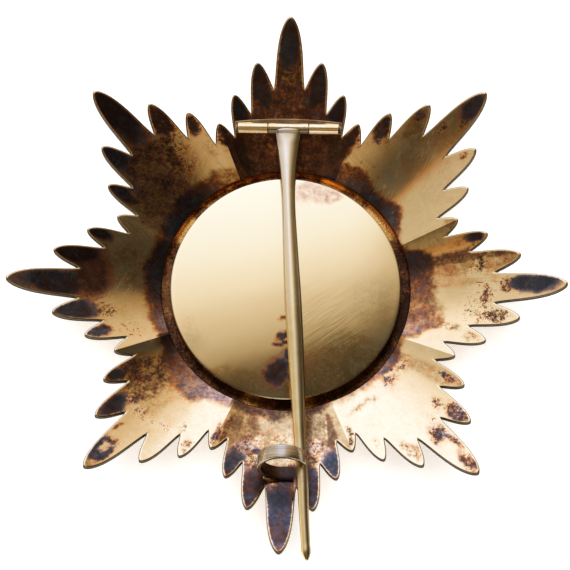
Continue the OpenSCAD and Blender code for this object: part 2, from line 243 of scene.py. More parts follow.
# Patches. Columns: angle, reach, half width in degrees, half length, depth, hue, grain.
PATCHES = [
    # Bundle of the hinge
    (0, 24, 9, 3.2, 0.5, 0, 0.2), (-18, 24, 3, 5, 0.85, 0.3, 0), (18, 25, 5, 4, 0.72, 0.2, 0),
    (0, 34.6, 3, 2.4, 0.66, 0.1, 0.2), (0, 40.5, 3.4, 5, 0.92, 0.8, 0.1),
    (-8, 34.5, 3.2, 5, 0.9, 0.7, 0.1), (8, 34.5, 3.2, 5, 0.9, 0.6, 0.1),
    (-15.5, 31, 3.4, 3.4, 0.95, 0.7, 0), (15.5, 31, 3.4, 3.4, 0.92, 0.8, 0),
    (-22.5, 28.2, 2.6, 2.4, 0.75, 0.4, 0.3), (21.5, 28, 1.8, 2.6, 0.85, 0.5, 0),
    # Right of the hinge
    (45, 42, 2, 2.6, 0.92, 0.9, 0.1), (46, 39, 0.9, 1.2, 0.75, 0.6, 0.3),
    (43.2, 37.2, 0.7, 1.6, 0.6, 0.3, 0.8), (45, 36.4, 3.2, 4.4, 0.24, 0, 0),
    (36.2, 35.8, 1.4, 1.4, 0.72, 0.6, 0.3), (37, 34.6, 2.6, 3.2, 0.34, 0.1, 0.2),
    (29.6, 31, 2.4, 2.3, 0.82, 0.8, 0.3), (32, 30, 2.8, 1.2, 0.5, 0.3, 0.7),
    (24.5, 28, 1.8, 1.6, 0.45, 0.2, 0.3), (52.2, 35.7, 1.2, 1, 0.5, 0.5, 0.6),
    (60, 30.2, 1.4, 1, 0.16, 0.3, 0.6), (43, 29.5, 5, 3, 0.16, 0.3, 0), (33, 26.5, 9, 4, 0.22, 0, 0.7),
    (41, 32.5, 4, 2, 0.3, 0, 0.6),
    # Right
    (67.5, 28.6, 2, 1.4, 0.3, 0, 0.1), (74, 31.6, 1.8, 1.7, 0.97, 0.9, 0),
    (74.4, 31.2, 3, 2.9, 0.34, 0, 0.2), (82, 34.5, 3, 4, 0.28, 0, 0.1), (82, 31.8, 3, 0.7, 0.62, 0.2, 0.7),
    (89.2, 40.1, 2.3, 4, 0.97, 1, 0), (89.2, 36, 3, 1.6, 0.55, 0.4, 1), (92, 32.4, 5, 1.5, 0.56, 0.2, 1),
    (95, 30, 6, 1.6, 0.4, 0.1, 1), (97.6, 34.4, 2.2, 2.2, 0.58, 0.3, 0.9),
    (99, 31.8, 3.2, 1.2, 0.5, 0.2, 1), (105, 30.9, 1.6, 1.4, 0.36, 0.2, 0.6),
    (103, 27, 1.5, 2.2, 0.36, 0.1, 0.4), (76, 22.3, 4, 1.6, 0.6, 0.2, 0.2),
    (84, 31, 2.6, 2, 0.4, 0.3, 0.9),
    # Lower right
    (119.6, 30, 1.3, 1.6, 0.62, 0.7, 0.5), (127, 34.8, 2.3, 2.3, 0.66, 0.5, 0.5),
    (128, 31.2, 2.2, 1.1, 0.52, 0.3, 0.8), (134.2, 42.2, 1.4, 2.4, 0.66, 0.6, 0.3),
    (136, 43, 0.9, 1.2, 0.5, 0.4, 0.5), (135, 35, 2.9, 1.9, 0.62, 0.4, 0.7),
    (133, 38.2, 0.7, 1.3, 0.55, 0.4, 0.4), (133.2, 32.6, 1.6, 0.9, 0.45, 0.2, 0.9),
    (143, 34.3, 1.8, 2.2, 0.46, 0.4, 0.4), (150.5, 30.3, 1.2, 1, 0.34, 0.3, 0.6),
    (156, 27.4, 1, 1.2, 0.42, 0.3, 0.8), (128, 22.7, 9, 0.9, 0.55, 0.6, 0.7),
    (146, 23, 8, 0.5, 0.3, 0.1, 0.3),
    # Below, at the catch
    (180, 26.8, 19, 2.6, 0.32, 0.2, 0.3), (163.4, 25.5, 2.6, 4.2, 0.34, 0.2, 0.3),
    (198.5, 25, 3, 4.6, 0.42, 0, 0), (200.6, 26, 1.4, 3.6, 0.6, 0.2, 0.15),
    (193, 24.5, 4, 3.6, 0.38, 0.1, 0), (187, 23.6, 4.4, 2.4, 0.24, 0.1, 0),
    (167, 24.5, 3.2, 3.6, 0.32, 0.1, 0), (162.6, 25.2, 2, 4, 0.5, 0.2, 0),
    # Painted shade: the first patch on the next line paints the plate inside and under the catch's ring near
    # black
    (179, 31.6, 5.6, 1.6, 0.92, 0.3, 0), (170, 27.6, 5, 1.8, 0.46, 0.6, 0.4),
    (191, 27.6, 6, 1.8, 0.5, 0.8, 0.4), (172, 29.6, 3.6, 2.2, 0.56, 0.4, 0.4),
    (189, 29.6, 4, 2.2, 0.56, 0.4, 0.4), (180, 39.2, 4.2, 6.8, 0.77, 0.85, 0),
    (180, 34.4, 3.2, 1.9, 0.76, 0.4, 0.1), (188, 34.4, 3.8, 4.4, 0.82, 0.8, 0),
    (172, 34.4, 3.8, 4.4, 0.82, 0.8, 0), (195.4, 31.4, 3.4, 3.2, 0.86, 0.9, 0.1),
    (164.6, 31.6, 3.4, 3.2, 0.84, 0.9, 0.1), (203.2, 27.4, 1.4, 2.4, 0.55, 0.3, 0.5),
    (156.6, 27.4, 1.2, 2.4, 0.55, 0.3, 0.6),
    # Lower left
    (209.6, 30.9, 1.7, 1.4, 0.46, 0.5, 0.6), (225.6, 42.3, 1.6, 1.3, 0.88, 0.7, 0.2),
    (227, 40.6, 0.8, 2.3, 0.84, 0.7, 0.2), (224.4, 40.6, 0.8, 2.2, 0.84, 0.7, 0.3),
    (225.6, 38.4, 1.5, 0.7, 0.74, 0.6, 0.5), (227.6, 36, 0.6, 0.7, 0.68, 0.4, 0.3),
    (225, 44, 1.6, 1.8, 0.3, 0, 0), (233.2, 34.3, 2.4, 3.2, 0.94, 0.8, 0),
    (231.6, 31, 2, 1, 0.6, 0.4, 0.6), (240.4, 31.4, 2, 1.7, 0.9, 0.8, 0.1),
    (225, 31.6, 4.6, 0.9, 0.46, 0.2, 1), (218, 30.5, 3.4, 0.7, 0.44, 0.2, 1),
    (213.5, 28.6, 1.6, 0.8, 0.42, 0.2, 0.9), (226, 27, 4, 5, 0.2, 0, 0.3),
    (238, 27.5, 5, 5.4, 0.6, 0.1, 0.25), (232, 27, 4, 4.6, 0.52, 0, 0.25),
    # Left
    (285.4, 31.6, 2.1, 2, 0.96, 0.8, 0), (278, 34, 3.2, 4.4, 0.95, 0.6, 0),
    (269.6, 37.6, 3.4, 5.6, 0.96, 0.8, 0), (262, 34, 3, 3.8, 0.9, 0.9, 0.1),
    (254.8, 31, 2, 2.4, 0.84, 0.9, 0.2), (273, 31.5, 8, 3.6, 0.74, 0.45, 0.1),
    (262, 29.2, 4, 1.4, 0.5, 0.1, 0.8), (253, 25.8, 4.6, 3, 0.4, 0.2, 0.9),
    (260, 26, 3.6, 2, 0.3, 0.1, 0.8), (278, 25.5, 10, 3.2, 0.3, 0, 0.5),
    # Upper left
    (299.5, 30.8, 2.9, 3.4, 0.92, 0.7, 0.1), (307, 34.8, 3.2, 3.4, 0.95, 0.8, 0),
    (315, 39.2, 3.6, 6.2, 0.95, 0.6, 0), (323, 34.2, 3.2, 3.6, 0.84, 0.5, 0.4),
    (330.2, 31, 1.8, 2, 0.86, 0.8, 0.2), (335.5, 28, 2.4, 1.6, 0.5, 0.3, 0.8),
    (311, 29, 14, 6.4, 0.62, 0.35, 0.35), (303, 27, 8, 5, 0.58, 0.3, 0.35),
    (333, 27, 2.6, 2.4, 0.24, -0.2, 0.2), (320, 30.5, 7, 2.6, 0.56, 0.2, 0.7),
    (298, 24.5, 5, 3, 0.5, 0.1, 0.6),
]
# Outer border and depth of the band around the opening. Columns: angle, reach, depth, hue.
BAND = np.array([
    (0, 22, 0.6, 0.1), (22.4, 22.5, 0.7, 0.2), (22.6, 23.4, 0.45, 0.3), (32, 23.2, 0.58, 0.4),
    (38, 22.9, 0.75, 0.4), (44, 22.6, 0.88, 0.5), (50, 22.9, 0.75, 0.6), (57, 22.6, 0.7, 0.4),
    (61, 21.4, 0.55, 0.2), (66, 20.6, 0.3, 0.1), (70, 21.6, 0.6, 0.4), (74, 23.6, 0.88, 0.5),
    (79, 24.2, 0.9, 0.4), (84, 23.6, 0.62, 0.2), (92, 24.4, 0.45, 0.2), (98, 25.2, 0.42, 0.25),
    (103, 26, 0.42, 0.3), (108, 23.4, 0.4, 0.4), (112.5, 21.4, 0.35, 0.4), (119, 21.6, 0.7, 0.4),
    (124, 21.8, 0.6, 0.8), (133, 21.6, 0.45, 0.8), (145, 21, 0.35, 0.3), (157, 20.8, 0.3, 0.1),
    (165, 21.6, 0.66, 0.1), (180, 21.9, 0.68, 0.1), (195, 22, 0.66, 0.1), (202.4, 21.6, 0.7, 0.2),
    (203, 21.8, 0.35, 0.9), (213, 22.8, 0.42, 0.9), (221, 24.2, 0.46, 0.6), (228, 24.9, 0.46, 0.5),
    (234, 24.2, 0.52, 0.4), (241, 22.8, 0.82, 0.4), (247.4, 22, 0.9, 0.3), (248, 21.4, 0.45, 0.4),
    (256, 22.6, 0.5, 0.5), (263, 22.5, 0.72, 0.6), (270, 22.9, 0.86, 0.6), (279, 23.3, 0.88, 0.5),
    (288, 22.8, 0.85, 0.4), (293, 22, 0.72, 0.4), (300, 22.8, 0.88, 0.7), (309, 23.4, 0.9, 0.6),
    (318, 23.4, 0.86, 0.6), (325, 22.8, 0.6, 0.4), (331, 22.3, 0.4, 0.1), (337.4, 21.6, 0.35, 0),
    (337.6, 22, 0.6, 0.1), (360, 22, 0.6, 0.1),
])
# Films with straight borders that fan out from the centre. The first four rows are partly tarnish and partly
# painted reflection:
# they paint the dark and orange bands that the upper half of the right bundle mirrors. Columns: angles of the
# two borders at the opening, the same at the roots of the rays, depth, hue.
STREAKS = [
    (66, 76.4, 66.5, 77.4, 0.15, -0.2), (75.8, 80.6, 77.2, 81.4, 0.56, 0.1),
    (80.2, 84.8, 81.4, 85.6, 0.29, 0.3), (83.8, 88.8, 84.8, 89.4, 0.17, 0.4),
    (117.8, 123, 117.8, 123, 0.22, 0),
]
STREAK_REACH = (22.0, 34.0)
# Film over a whole bundle, clockwise from the hinge. Columns: depth, hue, grain.
FILM = np.array([
    (0.64, 0.4, 0.12), (0.05, 0, 0.2), (0.04, 0, 0.3), (0.03, 0, 0.3), (0.2, -0.1, 0), (0.07, 0, 0.3),
    (0.09, 0, 0.3), (0.07, 0, 0.3),
])

# Patches on the cap. Columns: X, Y, half width, half height, depth, hue, grain.
CAP_PATCHES = [
    (-0.4, -5.1, 0.8, 0.35, 0.8, 0.8, 0.2), (-0.6, -7.9, 1, 0.5, 0.85, 0.8, 0.2),
    (-0.8, -9.1, 1.2, 0.4, 0.85, 0.8, 0.2), (-0.3, -11.2, 0.8, 1, 0.85, 0.8, 0.2),
    (-1, -14.4, 1.6, 2.3, 0.88, 0.7, 0.15), (-3, -15.4, 1.8, 2, 0.5, 0.4, 0.7),
    (1.6, -14.8, 1.4, 2.6, 0.66, 0.5, 0.4), (5.6, -13.8, 5.4, 3.4, 0.4, 0.2, 0.5),
    (4.4, 16.3, 3.2, 1.8, 0.18, 1.4, 0.2), (7, 15.6, 1.6, 0.9, 0.24, 1.4, 0.2),
    (5.5, -15.6, 6, 3.4, 0.36, -0.8, 0.5), (-9, -15.8, 6, 2.4, 0.3, -0.8, 0.5),
    (-15.8, -6.6, 1.8, 2.4, 0.16, -0.9, 0.8), (12.5, -11, 4, 3.4, 0.34, -0.6, 0.7),
]
CAP_WALL_DEPTH = 0.68
# The edges of patches wander. Columns: size of a wave and how far it moves an edge, in millimetres.
WANDER = [(3.2, 0.9), (1.1, 0.35)]
WANDER_SEED = 3
noise.seed_set(WANDER_SEED)
# Half widths from a patch's middle to where it ends, and half widths over which it fades
PATCH_FADE = (1.38, 0.7)
STREAK_GRAIN = 0.1
# Streaks go on turning as far out as this share of the way from the opening to the roots
STREAK_END = 1.4
BAND_FADE = 1.1
BAND_GRAIN = 0.06
# The band turns bluer towards the opening and redder towards its border
BAND_TURN = 0.3


def wandered(x, y):
    """Places moved along a smooth noise field, so that patches laid on them lose their plain outlines."""
    places = np.column_stack([x, y])
    for size, reach in WANDER:
        waves = [noise.noise_vector((px / size, py / size, size)) for px, py in zip(x, y)]
        places = places + reach * np.array([(wave.x, wave.y) for wave in waves])
    return places.T


def laid(below, *layer):
    """Depth, hue and grain of a layer of tarnish over what is below: the deeper of the two shows."""
    shows = layer[0] > below[0]
    return [np.where(shows, new, old) for new, old in zip(layer, below)]


def patched(below, away, depth, hue, grain):
    """The same for a patch, at places that are away half widths from its middle."""
    return laid(below, depth * np.clip((PATCH_FADE[0] - away) / PATCH_FADE[1], 0, 1), hue, grain)


def plate_tarnish(x, y, bundle):
    """Depth, hue and grain of the plate's tarnish, which also holds some painted shade and reflection: the
    deepest of film, streaks, band and patches.
    """
    layers = FILM[bundle].T
    angle = np.degrees(np.arctan2(x, y)) % 360
    opening, roots = STREAK_REACH
    out = np.clip((np.hypot(x, y) - opening) / (roots - opening), 0, STREAK_END)
    for near_start, near_end, far_start, far_end, *streak in STREAKS:
        start = near_start + (far_start - near_start) * out
        end = near_end + (far_end - near_end) * out
        away = np.abs(angle - (start + end) / 2) / ((end - start) / 2)
        layers = patched(layers, away, *streak, STREAK_GRAIN)

    x, y = wandered(x, y)
    angle = np.degrees(np.arctan2(x, y)) % 360
    r = np.hypot(x, y)
    border, depth, hue = [np.interp(angle, BAND[:, 0], column) for column in BAND[:, 1:].T]
    inside = (border - r) / BAND_FADE
    hue = hue + BAND_TURN * np.clip(inside - 0.6, -1, 1)
    layers = laid(layers, depth * np.clip(inside + 0.5, 0, 1), hue, BAND_GRAIN)
    for middle, reach, half_width, half_length, *patch in PATCHES:
        across = ((angle - middle + 180) % 360 - 180) / half_width
        layers = patched(layers, np.hypot(across, (r - reach) / half_length), *patch)
    return layers


def cap_tarnish(x, y):
    x, y = wandered(x, y)
    layers = np.zeros((3, len(x)))
    for middle_x, middle_y, half_width, half_height, *patch in CAP_PATCHES:
        away = np.hypot((x - middle_x) / half_width, (y - middle_y) / half_height)
        layers = patched(layers, away, *patch)
    return layers


# Building of meshes

def new_object(mesh, *materials, body="plate_body", slot="bright_hinge"):
    obj = bpy.data.objects.new(mesh.name, mesh)
    bpy.context.scene.collection.objects.link(obj)
    for material in materials:
        mesh.materials.append(material)
    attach(obj, body)
    return obj


def shaded(mesh, sharp):
    """The mesh with smooth shading that breaks at edges sharper than sharp degrees."""
    mesh.polygons.foreach_set("use_smooth", [True] * len(mesh.polygons))
    if sharp:
        mesh.set_sharp_from_angle(angle=math.radians(sharp))
    mesh.update()
    return mesh


def mesh_from(name, points, faces, sharp=None):
    """A mesh from points in millimetres."""
    mesh = bpy.data.meshes.new(name)
    mesh.from_pydata((np.asarray(points) * MM).tolist(), [], faces)
    return shaded(mesh, sharp)


def grid_faces(rows, columns, first=0, close_rows=False, close_columns=False, flip=False):
    """Faces between rows of points, where each row holds columns points."""
    faces = []
    for i in range(rows if close_rows else rows - 1):
        here = first + i * columns
        above = first + (i + 1) % rows * columns
        for k in range(columns if close_columns else columns - 1):
            after = (k + 1) % columns
            face = (here + k, here + after, above + after, above + k)
            faces.append(face[::-1] if flip else face)
    return faces


def loft_faces(rows, sides):
    """Faces of a solid whose rows of points are closed loops, with its two ends."""
    first = tuple(range(sides))
    last = tuple(range((rows - 1) * sides, rows * sides))
    return grid_faces(rows, sides, close_columns=True) + [first[::-1], last]


def bevelled(name, points, faces, width, steps=3, sharp=35):
    """A mesh whose edges sharper than sharp degrees are rounded."""
    build = bmesh.new()
    corners = [build.verts.new(Vector(p) * MM) for p in points]
    for face in faces:
        build.faces.new([corners[i] for i in face])
    bmesh.ops.recalc_face_normals(build, faces=build.faces)
    edges = [e for e in build.edges if e.calc_face_angle(0) > math.radians(sharp)]
    bmesh.ops.bevel(
        build, geom=edges, offset=width * MM, offset_type="OFFSET", segments=steps, profile=0.5,
        affect="EDGES", clamp_overlap=True,
    )
    mesh = bpy.data.meshes.new(name)
    build.to_mesh(mesh)
    build.free()
    return shaded(mesh, 40)


def prism(outline, low, high):
    """Points and faces of an outline in X and Y, raised from low to high."""
    points = [(x, y, z) for z in (low, high) for x, y in outline]
    return points, loft_faces(2, len(outline))


def revolved(name, profile, sharp, steps=288):
    """A closed profile of radius and height, turned round the Z axis. Points on the axis stay single."""
    points = []
    rings = []
    turn = np.arange(steps) * 2 * math.pi / steps
    for radius, height in profile:
        first = len(points)
        if radius < 1e-6:
            points.append((0, 0, height))
            rings.append([first] * steps)
        else:
            ring = [radius * np.cos(turn), radius * np.sin(turn), np.full(steps, height)]
            points.extend(np.column_stack(ring))
            rings.append(list(range(first, first + steps)))
    faces = []
    for lower, upper in zip(rings, rings[1:]):
        for k in range(steps):
            after = (k + 1) % steps
            face = list(dict.fromkeys([lower[k], lower[after], upper[after], upper[k]]))
            if len(face) > 2:
                faces.append(face)
    return mesh_from(name, points, faces, sharp)


def add_attributes(mesh, **columns):
    """One number for each point and name. Where a mesh has more points, the numbers start again."""
    for name, values in columns.items():
        attribute = mesh.attributes.new(name, "FLOAT", "POINT")
        attribute.data.foreach_set("value", np.resize(values, len(mesh.vertices)).astype(np.float32))


def moved(points, place, turn):
    """Points turned about X by turn radians and then moved to place."""
    matrix = Matrix.Translation(place) @ Matrix.Rotation(turn, 4, "X")
    return [tuple(matrix @ Vector(p)) for p in points]


# Node trees

class Wire:
    """An output of a node. Sums, differences and products of wires and numbers become math nodes."""

    def __init__(self, tree, socket):
        self.tree = tree
        self.socket = socket

    def __add__(self, other):
        return self.tree.math("ADD", self, other)

    def __sub__(self, other):
        return self.tree.math("SUBTRACT", self, other)

    def __mul__(self, other):
        return self.tree.math("MULTIPLY", self, other)

    __radd__ = __add__


class Tree:
    """Short calls for building one node tree."""

    def __init__(self, owner):
        owner.use_nodes = True
        self.tree = owner.node_tree
        self.tree.nodes.clear()

    def put(self, node, name, value):
        socket = node.inputs[name]
        if isinstance(value, Wire):
            self.tree.links.new(value.socket, socket)
        elif value is not None:
            socket.default_value = (*value, 1.0) if socket.type == "RGBA" else value

    def node(self, kind, inputs=None, **settings):
        node = self.tree.nodes.new(kind)
        for name, value in settings.items():
            setattr(node, name, value)
        for name, value in (inputs or {}).items():
            self.put(node, name, value)
        return node

    def add(self, kind, output, inputs=None, **settings):
        """One output of a new node."""
        return Wire(self, self.node(kind, inputs, **settings).outputs[output])

    def math(self, operation, a, b=None, clamp=False):
        return self.add("ShaderNodeMath", 0, {0: a, 1: b}, operation=operation, use_clamp=clamp)

    def step(self, value, low, high, start=0.0, end=1.0):
        """A smooth step of value, from start at low to end at high."""
        return self.add("ShaderNodeMapRange", "Result", {
            "Value": value, "From Min": low, "From Max": high, "To Min": start, "To Max": end,
        }, interpolation_type="SMOOTHSTEP")

    def mix(self, share, a, b):
        """Colour a at share 0 and b at share 1."""
        return self.add("ShaderNodeMix", 2, {0: share, 6: a, 7: b}, data_type="RGBA")

    def blend(self, share, a, b):
        """Number a at share 0 and b at share 1."""
        return self.add("ShaderNodeMix", 0, {0: share, 2: a, 3: b}, data_type="FLOAT")

    def ramp(self, value, stops):
        """A colour that runs through stops, rows of place and colour."""
        node = self.node("ShaderNodeValToRGB", {"Fac": value})
        elements = node.color_ramp.elements
        while len(elements) < len(stops):
            elements.new(0.5)
        for element, (place, color) in zip(elements, stops):
            element.position = place
            element.color = (*color, 1.0)
        return Wire(self, node.outputs["Color"])

    def curve(self, value, stops):
        """A number that runs straight from stop to stop, rows of value and number."""
        low = stops[0][0]
        high = stops[-1][0]
        share = self.add("ShaderNodeMapRange", "Result", {"Value": value, "From Min": low, "From Max": high})
        return self.ramp(share, [((place - low) / (high - low), (number,) * 3) for place, number in stops])

    def axes(self, vector):
        node = self.node("ShaderNodeSeparateXYZ", {"Vector": vector})
        return [Wire(self, socket) for socket in node.outputs]

    def spot(self, x, y, middle_x, middle_y, reach, strength=1.0, core=0.0):
        """A soft round spot: strength as far as core from its middle, and 0 from reach outwards."""
        across = self.math("POWER", x - middle_x, 2.0)
        up = self.math("POWER", y - middle_y, 2.0)
        return self.step(self.math("SQRT", across + up), reach, core, 0.0, strength)


class Surface(Tree):
    """The node tree of a new material. Its places, at, are in millimetres."""

    def __init__(self, name, inputs=None):
        self.material = bpy.data.materials.new(name)
        super().__init__(self.material)
        self.shader = self.node("ShaderNodeBsdfPrincipled", inputs or {"Metallic": 1.0})
        self.node("ShaderNodeOutputMaterial", {"Surface": Wire(self, self.shader.outputs["BSDF"])})
        places = self.add("ShaderNodeTexCoord", "Object")
        self.at = self.add("ShaderNodeVectorMath", "Vector", {"Vector": places, "Scale": 1 / MM},
                           operation="SCALE")

    def finish(self, color, roughness, normal):
        for name, value in (("Base Color", color), ("Roughness", roughness), ("Normal", normal)):
            self.put(self.shader, name, value)
        return self.material

    def attribute(self, name):
        return self.add("ShaderNodeAttribute", "Fac", attribute_name=name)

    def noise(self, size, detail=3.0, roughness=0.55, vector=None):
        """Noise from 0 to 1 whose features are about size millimetres."""
        return self.add("ShaderNodeTexNoise", "Fac", {
            "Vector": vector or self.at, "Scale": 1 / size, "Detail": detail, "Roughness": roughness,
        })

    def scratches(self, turn, size, length, width, amount):
        """Fine long scratches in one direction: 1 on a scratch and 0 beside it."""
        turned = self.add("ShaderNodeVectorRotate", "Vector", {"Vector": self.at, "Angle": turn},
                          rotation_type="Z_AXIS")
        along = self.add("ShaderNodeMapping", "Vector", {
            "Vector": turned, "Scale": (1 / length, 1 / size, 1 / length),
        })
        line = self.math("ABSOLUTE", self.noise(1.0, 1.0, vector=along) - 0.5)
        where = self.step(self.noise(length * 0.6, 1.0), 0.62 - amount, 0.7 - amount)
        return self.step(line, width, 0.0) * where

    def bump(self, height, strength, distance_mm, normal=None):
        return self.add("ShaderNodeBump", "Normal", {
            "Height": height, "Strength": strength, "Distance": distance_mm * MM, "Normal": normal,
        })


GOLD = (0.93, 0.72, 0.4)
PALE_GOLD = (0.95, 0.78, 0.49)
DEEP_GOLD = (0.85, 0.58, 0.25)
# Colour of gilding as its tarnish deepens. Columns: depth, brown film, red film, blue film.
FILM_COLORS = [
    (0.00, GOLD, GOLD, GOLD),
    (0.12, (0.84, 0.60, 0.29), (0.90, 0.58, 0.26), (0.85, 0.60, 0.34)),
    (0.25, (0.62, 0.38, 0.15), (0.74, 0.34, 0.11), (0.65, 0.38, 0.22)),
    (0.40, (0.38, 0.20, 0.075), (0.42, 0.155, 0.055), (0.38, 0.21, 0.150)),
    (0.55, (0.23, 0.115, 0.048), (0.25, 0.088, 0.042), (0.20, 0.140, 0.125)),
    (0.70, (0.14, 0.075, 0.036), (0.15, 0.058, 0.034), (0.115, 0.104, 0.104)),
    (0.85, (0.085, 0.048, 0.026), (0.085, 0.040, 0.028), (0.070, 0.068, 0.071)),
    (1.00, (0.045, 0.029, 0.018), (0.045, 0.026, 0.020), (0.045, 0.044, 0.048)),
]


def tarnish_color(tree, depth, hue, grain, border=None):
    """Colour and level of tarnish and the noise that it follows: an even film that varies softly, or loose
    specks that cover more of the metal where it is deep. It thins out towards a border, if one is given."""
    coarse = tree.noise(5.0)
    middle = tree.noise(1.7, 4.0, 0.6)
    fine = tree.noise(0.55, 4.0, 0.65)
    tiny = tree.noise(0.2, 3.0, 0.65)
    small = tree.step(fine, 0.32, 0.68, -0.2, 0.2) + tree.step(tiny, 0.3, 0.7, -0.09, 0.09)
    soft = tree.step(middle, 0.32, 0.68, -0.24, 0.24) + small
    soft = soft * tree.step(grain, 0.0, 0.4, 0.4, 1.0)
    strength = tree.step(depth, 0.0, 0.45, 0.1, 1.0) * tree.step(depth, 0.7, 0.95, 1.0, 0.5)
    film = depth + soft * strength
    lean = fine * 0.55 + tiny * 0.45 + (middle - 0.5) * 0.35
    limit = tree.step(depth, 0.0, 1.0, 0.7, 0.36)
    specks = tree.step(lean - limit, -0.07, 0.1) * tree.step(depth, 0.05, 0.6, 0.4, 0.8)
    level = tree.math("MAXIMUM", tree.blend(grain, film, specks), 0.0)
    if border is not None:
        level = level * tree.step(border + (fine - 0.5) * 0.4, 0.14, 0.48)
    turn = tree.step(coarse, 0.3, 0.7, -0.3, 0.3)
    turn = turn + tree.step(tree.noise(1.1, 3.0, 0.6), 0.3, 0.7, -0.35, 0.35)
    hue = hue + turn * tree.step(grain, 0.0, 0.3, 0.65, 1.0)
    brown, red, blue = [
        tree.ramp(level, [(row[0], row[column]) for row in FILM_COLORS]) for column in (1, 2, 3)
    ]
    color = tree.mix(tree.step(hue, 0.0, 0.5), brown, red)
    color = tree.mix(tree.step(hue, 0.45, 1.0), color, blue)
    return color, level, {"coarse": coarse, "fine": fine, "tiny": tiny}


def plate_back_material():
    """Gilding on the plate's back under tarnish that thins out towards every edge. Some of the tarnish is
    painted shade and painted reflection.
    """
    tree = Surface("worn_gilt_back")
    edge = tree.attribute("edge")
    color, level, waves = tarnish_color(tree, *map(tree.attribute, ("depth", "hue", "grain")), edge)
    marks = tree.math("MAXIMUM", tree.scratches(0.75, 0.22, 12.0, 0.012, 0.1),
                      tree.scratches(-1.1, 0.22, 8.0, 0.012, 0.1))
    color = tree.mix(marks * 0.15, color, (0.85, 0.62, 0.32))
    color = tree.mix(tree.step(edge, 0.17, 0.06, 0.0, 0.85), color, (0.06, 0.035, 0.02))
    clean = tree.blend(tree.step(waves["coarse"], 0.3, 0.7), 0.06, 0.12)
    dull = tree.step(waves["fine"], 0.3, 0.7, 0.24, 0.38)
    normal = tree.bump(tree.noise(7.0, 2.0), 0.35, 0.05)
    normal = tree.bump(level, 0.3, 0.02, normal)
    normal = tree.bump(waves["tiny"], 0.15, 0.006, normal)
    normal = tree.bump(marks * -1.0, 0.25, 0.01, normal)
    return tree.finish(color, tree.blend(tree.step(level, 0.08, 0.6), clean, dull), normal)


def plate_front_material():
    """Gilding on the faceted front of the rays."""
    tree = Surface("gilt_front")
    coarse = tree.noise(4.0)
    fine = tree.noise(0.5)
    color = tree.mix(tree.step(coarse, 0.35, 0.7), GOLD, DEEP_GOLD)
    color = tree.mix(tree.step(fine, 0.6, 0.8, 0.0, 0.5), color, (0.3, 0.18, 0.08))
    return tree.finish(color, tree.blend(coarse, 0.18, 0.32), tree.bump(fine, 0.3, 0.02))


def cut_edge_material():
    """Near-black metal on the sawn edges of the rays: partly dark tarnish, partly painted shade of the shaded
    edges and of the notches between the rays.
    """
    tree = Surface("cut_edge", {"Specular IOR Level": 0.08})
    fine = tree.noise(0.35)
    color = tree.mix(tree.step(fine, 0.5, 0.72), (0.01, 0.007, 0.005), (0.06, 0.03, 0.015))
    return tree.finish(color, tree.blend(fine, 0.45, 0.65), tree.bump(fine, 0.4, 0.03))


def opening_edge_material():
    """Red-gold gilding under brown tarnish on the edge of the opening, with painted light: it is painted
    brighter towards the hinge.
    """
    tree = Surface("opening_edge")
    fine = tree.noise(0.5)
    # Painted light: the step in y makes the edge brighter towards the hinge
    lean = tree.noise(3.0) * 0.7 + fine * 0.3 + tree.step(tree.axes(tree.at)[1], -6.0, 8.0, 0.1, 0.4)
    color = tree.mix(tree.step(lean, 0.5, 0.9), (0.16, 0.065, 0.028), (0.92, 0.45, 0.12))
    return tree.finish(color, tree.blend(fine, 0.25, 0.45), tree.bump(fine, 0.3, 0.02))


# Painted glints: places in the groove around the cap where orange highlights are painted into the colour. The
# last two rows paint the groove lighter on the left and darker on the right. Columns: X, Y, reach, strength.
PAINTED_GLINTS = [
    (-16.7, 10.8, 3.8, 0.6), (15.6, 12.1, 4.6, 0.75), (7.2, 18.6, 2.6, 0.5), (-5.8, -18.7, 2.6, 0.26),
    (3.9, -19.4, 2.4, 0.24), (-19.6, 0.0, 9.0, 0.1), (19.6, -3.0, 9.0, -0.08),
]


def medallion_material():
    """Satin gilding on the front of the medallion. Its back, seen in the groove around the cap, is dark
    red-brown: tarnish and painted shade of the narrow groove, with painted orange glints and a painted
    lighter side towards the hinge.
    """
    tree = Surface("satin_gilding")
    x, y, height = tree.axes(tree.at)
    back = tree.step(height, MEDALLION_T - 0.4, MEDALLION_T - 0.1)
    coarse = tree.noise(2.2)
    front_color = tree.mix(tree.step(coarse, 0.35, 0.65), PALE_GOLD, GOLD)
    # Painted light: the groove is painted lighter towards the hinge, and orange glints are painted in at the
    # listed spots
    lean = coarse * 0.5 + tree.noise(0.45, 4.0, 0.7) * 0.5 + tree.step(y, 6.0, 17.0, 0.0, 0.14)
    for glint in PAINTED_GLINTS:
        lean = lean + tree.spot(x, y, *glint)
    tarnish_shade_and_glints = tree.mix(tree.step(lean, 0.44, 0.6), (0.045, 0.02, 0.011), (0.21, 0.08, 0.028))
    tarnish_shade_and_glints = tree.mix(tree.step(lean, 0.6, 0.82), tarnish_shade_and_glints, (0.98, 0.52, 0.13))
    color = tree.mix(back, front_color, tarnish_shade_and_glints)
    return tree.finish(color, tree.blend(back, 0.3, 0.2), tree.bump(lean, 0.6, 0.16))


STAIN = (0.25, 0.15, 0.06)
# Tones of painted shade and painted highlight, for how light falls on the needle and its knuckle
PAINTED_SHADE_TONE = (0.22, 0.155, 0.075)
PAINTED_HIGHLIGHT_TONE = (0.97, 0.87, 0.72)


